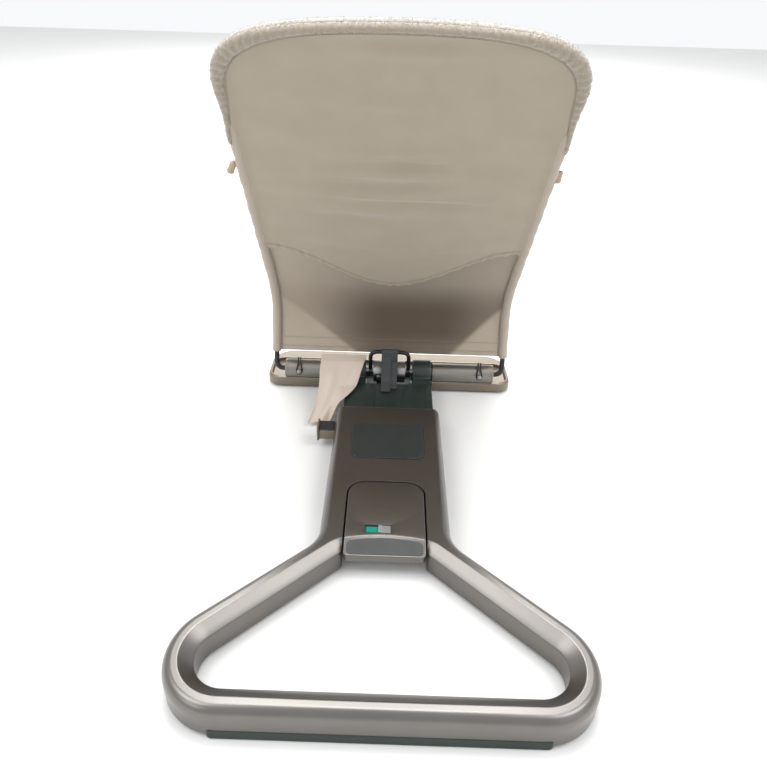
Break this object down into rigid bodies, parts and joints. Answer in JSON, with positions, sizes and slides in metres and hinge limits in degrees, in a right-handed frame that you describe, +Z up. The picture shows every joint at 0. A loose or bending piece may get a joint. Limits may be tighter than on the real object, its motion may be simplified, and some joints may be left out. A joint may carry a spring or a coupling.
{
  "type": "bouncer seat",
  "caption": "Baby bouncer: sling seat on a wire frame, sprung in a barrel on a wide front foot, with spine, foot pedal and triangular rear loop.",
  "frame": {"origin": "on the floor under the middle of the bounding box", "axes": "+Z up, -Y towards the baby's feet and the front foot, +Y towards the rear loop, +X to the side with the side button"},
  "size_m": [0.4518, 0.75, 0.6078],
  "materials": {
    "satin_shell": "satin metallic grey lacquer on moulded plastic",
    "taupe_moulding": "satin metallic taupe lacquer on moulded plastic",
    "black_moulding": "fine-textured moulding",
    "foot_rubber": "matt",
    "grip_rubber": "ribbed, matt",
    "slate_tile": "soft-touch",
    "steel": "zinc-plated",
    "teal_plastic": "gloss",
    "silver_plastic": "satin",
    "bail_black": "satin",
    "webbing": "woven webbing",
    "black_wire": "powder-coated",
    "satin_aluminium": "satin",
    "elastic": "braided cord",
    "upper_canvas": "fine twill",
    "lower_canvas": "fine twill",
    "fleece": "short-pile fleece",
    "plush": "short-pile plush",
    "flap_cloth": "plain weave",
    "toggle_tan": "woven tape"
  },
  "bodies": {
    "base": {"top_cover": "satin_shell", "underside_tray": "black_moulding", "rear_grip_strip": "foot_rubber", "badge_tile": "slate_tile", "tray_screw_1": "steel", "tray_screw_2": "steel", "tray_screw_3": "steel", "tray_screw_4": "steel", "chassis": "black_moulding", "front_foot": "taupe_moulding", "bearing_bracket_left": "black_moulding", "bearing_bracket_right": "black_moulding", "front_foot_pad_left": "foot_rubber", "front_foot_pad_right": "foot_rubber", "index_sector": "steel", "pedal_hinge_pin": "steel", "pedal_return_spring": "steel", "hanging_flap": "flap_cloth"},
    "pedal": {"pedal": "satin_shell", "pedal_grip_pad": "grip_rubber", "lock_window": "teal_plastic"},
    "slider": {"lock_slider": "silver_plastic"},
    "rod": {"link_rod": "steel"},
    "button": {"side_button": "slate_tile", "button_spring": "steel"},
    "hub": {"index_drum": "steel", "spring_drum": "steel", "bail_pivot_pin": "steel"},
    "plunger": {"lock_plunger": "steel"},
    "bail": {"release_bail": "bail_black", "pull_strap": "webbing"},
    "seat": {"cross_shaft": "steel", "seat_hoop": "black_wire", "seat_leg_left": "black_wire", "seat_leg_right": "black_wire", "frame_sleeve_left": "black_moulding", "frame_sleeve_right": "black_moulding", "barrel_left": "satin_aluminium", "barrel_right": "satin_aluminium", "end_bush_left": "black_moulding", "end_bush_right": "black_moulding", "bounce_spring_left": "steel", "bounce_spring_right": "steel", "hook_peg_left": "satin_aluminium", "hook_peg_right": "satin_aluminium", "elastic_loop_left": "elastic", "elastic_loop_right": "elastic", "upper_back_panel": "upper_canvas", "lower_back_panel": "lower_canvas", "seat_liner": "fleece", "plush_rim": "plush", "crotch_strap": "upper_canvas", "waist_strap_left": "webbing", "waist_strap_right": "webbing", "harness_buckle": "bail_black", "side_toggle": "toggle_tan", "side_tab": "toggle_tan", "side_casing_left": "upper_canvas", "side_casing_right": "upper_canvas"}
  },
  "joints": [
    {"name": "seat_recline", "type": "hinge", "parent": "base", "child": "hub", "pos_m": [0, -0.284, 0.033], "axis": [-1, 0, 0], "range_deg": [0, 38]},
    {"name": "seat_bounce", "type": "hinge", "parent": "hub", "child": "seat", "pos_m": [0, -0.284, 0.033], "axis": [-1, 0, 0], "range_deg": [0, 5.5], "stiffness_Nm_per_rad": 40, "springref_deg": -8.59},
    {"name": "bail_swing", "type": "hinge", "parent": "hub", "child": "bail", "pos_m": [0, -0.272, 0.04], "axis": [-1, 0, 0], "range_deg": [0, 12], "stiffness_Nm_per_rad": 0.3, "springref_deg": -11.46},
    {"name": "plunger_slide", "type": "slide", "parent": "hub", "child": "plunger", "axis": [0, -1, 0], "range_m": [0, 0.0052]},
    {"name": "pedal_press", "type": "hinge", "parent": "base", "child": "pedal", "pos_m": [0, 0.05, 0.022], "axis": [-1, 0, 0], "range_deg": [0, 8.5]},
    {"name": "slider_slide", "type": "slide", "parent": "pedal", "child": "slider", "axis": [1, 0, 0], "range_m": [0, 0.0135]},
    {"name": "rod_slide", "type": "slide", "parent": "base", "child": "rod", "axis": [0, -1, 0], "range_m": [0, 0.0019]},
    {"name": "button_press", "type": "slide", "parent": "base", "child": "button", "axis": [-1, 0, 0], "range_m": [0, 0.004], "stiffness_N_per_m": 300, "springref_m": -0.003}
  ],
  "couplings": [
    {"joint": "pedal_press", "follows": "seat_bounce", "ratio": 1.45},
    {"joint": "rod_slide", "follows": "seat_bounce", "m_per_rad": 0.018},
    {"joint": "plunger_slide", "follows": "bail_swing", "m_per_rad": 0.0245}
  ]
}
